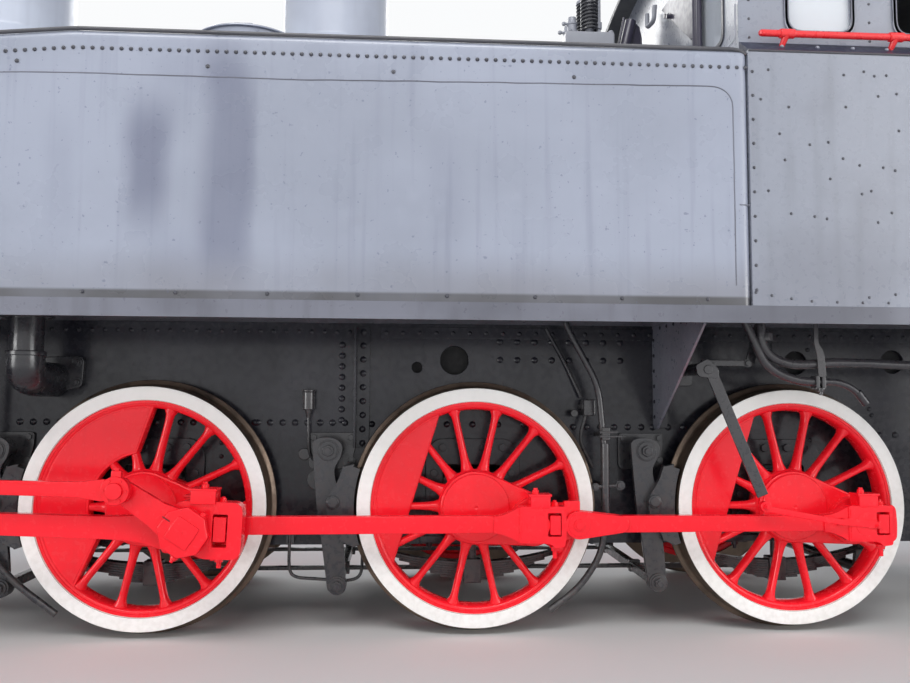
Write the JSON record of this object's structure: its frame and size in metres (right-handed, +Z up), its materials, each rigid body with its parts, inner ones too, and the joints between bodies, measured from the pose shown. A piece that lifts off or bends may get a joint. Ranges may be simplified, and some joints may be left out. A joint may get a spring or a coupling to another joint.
{
  "type": "steam locomotive",
  "caption": "Side-tank steam locomotive with six coupled wheels, carrying wheels at each end, outside cylinders, rods and valve gear.",
  "frame": {"origin": "midway between the buffer faces and the sides, on the plane of the wheels' flange tips", "axes": "+X towards the rear of the engine, -X its front, -Y its left side, +Z up"},
  "size_m": [11.7, 2.9, 4.1779],
  "materials": {
    "frame_black": "worn black paint",
    "beam_red": "red paint",
    "buffer_black": "black paint",
    "forged_steel": "dull forged steel",
    "cylinder_black": "satin black paint",
    "rod_steel": "oily machined steel",
    "rod_red": "satin red paint",
    "boiler_black": "satin black paint",
    "smokebox_black": "matt black paint",
    "brass": "polished brass",
    "tank_grey": "glossy dark grey paint",
    "roof_grey": "matt dark paint",
    "floor_wood": "worn boards",
    "window_glass": "clear glass",
    "seat_wood": "varnished wood",
    "cast_iron": "dusty cast iron",
    "lamp_black": "black paint",
    "handrail_red": "red paint",
    "wheel_red": "satin red paint",
    "tyre_steel": "steel with white painted faces"
  },
  "bodies": {
    "root": {"main_frames": "frame_black", "buffer_beams": "beam_red", "buffers": "buffer_black", "draw_gear": "forged_steel", "cylinders": "cylinder_black", "motion_brackets": "frame_black", "valve_gear": "rod_steel", "boiler": "boiler_black", "smokebox": "smokebox_black", "chimney": "smokebox_black", "domes": "boiler_black", "safety_valves": "brass", "side_tanks": "tank_grey", "footplate": "frame_black", "cab_front": "tank_grey", "cab_sides": "tank_grey", "cab_rear": "tank_grey", "cab_roof": "roof_grey", "cab_floor": "floor_wood", "cab_glass": "window_glass", "backhead_fittings": "brass", "reverser": "beam_red", "cab_seats": "seat_wood", "coal_bunker": "tank_grey", "axleboxes_and_springs": "cast_iron", "ashpan": "frame_black", "brake_gear": "cast_iron", "sand_pipes": "frame_black", "heating_pipes": "frame_black", "balance_pipes": "frame_black", "lamps": "lamp_black", "handrails": "handrail_red", "air_pump": "cast_iron", "air_reservoir": "frame_black", "recorder_drive": "rod_steel"},
    "smokebox_door": {"smokebox_door": "smokebox_black"},
    "tank_lid_left": {"tank_lid_left": "tank_grey"},
    "cab_door_left": {"cab_door_left": "tank_grey"},
    "tank_lid_right": {"tank_lid_right": "tank_grey"},
    "cab_door_right": {"cab_door_right": "tank_grey"},
    "wheelset_lead": {"wheels_lead": "wheel_red"},
    "wheelset_drive": {"wheels_drive": "wheel_red", "tyres_drive": "tyre_steel"},
    "wheelset_second": {"wheels_second": "wheel_red", "tyres_second": "tyre_steel"},
    "wheelset_third": {"wheels_third": "wheel_red", "tyres_third": "tyre_steel"},
    "wheelset_trail": {"wheels_trail": "wheel_red"},
    "coupling_rods_left": {"coupling_rods_left": "rod_red"},
    "crosshead_left": {"crosshead_left": "rod_steel"},
    "main_rod_left": {"main_rod_left": "rod_steel", "return_crank_left": "rod_red"},
    "coupling_rods_right": {"coupling_rods_right": "rod_red"},
    "crosshead_right": {"crosshead_right": "rod_steel"},
    "main_rod_right": {"main_rod_right": "rod_steel", "return_crank_right": "rod_red"}
  },
  "joints": [
    {"name": "lead_spin", "type": "hinge", "parent": "root", "child": "wheelset_lead", "pos_m": [-2.95, 0, 0.453], "axis": [0, 1, 0], "continuous": true},
    {"name": "drive_spin", "type": "hinge", "parent": "root", "child": "wheelset_drive", "pos_m": [-1.1, 0, 0.618], "axis": [0, 1, 0], "continuous": true},
    {"name": "second_spin", "type": "hinge", "parent": "root", "child": "wheelset_second", "pos_m": [0.5, 0, 0.618], "axis": [0, 1, 0], "continuous": true},
    {"name": "third_spin", "type": "hinge", "parent": "root", "child": "wheelset_third", "pos_m": [2.1, 0, 0.618], "axis": [0, 1, 0], "continuous": true},
    {"name": "trail_spin", "type": "hinge", "parent": "root", "child": "wheelset_trail", "pos_m": [4.25, 0, 0.453], "axis": [0, 1, 0], "continuous": true},
    {"name": "rods_left_turn", "type": "hinge", "parent": "wheelset_drive", "child": "coupling_rods_left", "pos_m": [-0.8223, -0.97, 0.55389], "axis": [0, 1, 0], "continuous": true},
    {"name": "crosshead_left_slide", "type": "slide", "parent": "root", "child": "crosshead_left", "axis": [1, 0, 0], "range_m": [-0.5639, 0.0061]},
    {"name": "main_rod_left_swing", "type": "hinge", "parent": "crosshead_left", "child": "main_rod_left", "pos_m": [-2.57113, -1.09, 0.618], "axis": [0, -1, 0], "range_deg": [-7.27, 11.47]},
    {"name": "rods_right_turn", "type": "hinge", "parent": "wheelset_drive", "child": "coupling_rods_right", "pos_m": [-1.03589, 0.97, 0.8957], "axis": [0, 1, 0], "continuous": true},
    {"name": "crosshead_right_slide", "type": "slide", "parent": "root", "child": "crosshead_right", "axis": [1, 0, 0], "range_m": [-0.3713, 0.1987]},
    {"name": "main_rod_right_swing", "type": "hinge", "parent": "crosshead_right", "child": "main_rod_right", "pos_m": [-2.76372, 1.09, 0.618], "axis": [0, -1, 0], "range_deg": [-18.5, 0.24]},
    {"name": "smokebox_door_swing", "type": "hinge", "parent": "root", "child": "smokebox_door", "pos_m": [-4.505, -0.57, 2.478], "axis": [0, 0, 1], "range_deg": [0, 120]},
    {"name": "tank_lid_left_swing", "type": "hinge", "parent": "root", "child": "tank_lid_left", "pos_m": [-0.6, -0.825, 2.797], "axis": [-1, 0, 0], "range_deg": [0, 110]},
    {"name": "cab_door_left_swing", "type": "hinge", "parent": "root", "child": "cab_door_left", "pos_m": [3.684, -1.42, 2.1], "axis": [0, 0, -1], "range_deg": [0, 88]},
    {"name": "tank_lid_right_swing", "type": "hinge", "parent": "root", "child": "tank_lid_right", "pos_m": [-0.6, 0.825, 2.797], "axis": [1, 0, 0], "range_deg": [0, 110]},
    {"name": "cab_door_right_swing", "type": "hinge", "parent": "root", "child": "cab_door_right", "pos_m": [3.684, 1.42, 2.1], "axis": [0, 0, 1], "range_deg": [0, 88]}
  ],
  "couplings": [
    {"joint": "second_spin", "follows": "drive_spin", "ratio": 1},
    {"joint": "third_spin", "follows": "drive_spin", "ratio": 1},
    {"joint": "rods_left_turn", "follows": "drive_spin", "ratio": -1},
    {"joint": "rods_right_turn", "follows": "drive_spin", "ratio": -1}
  ]
}
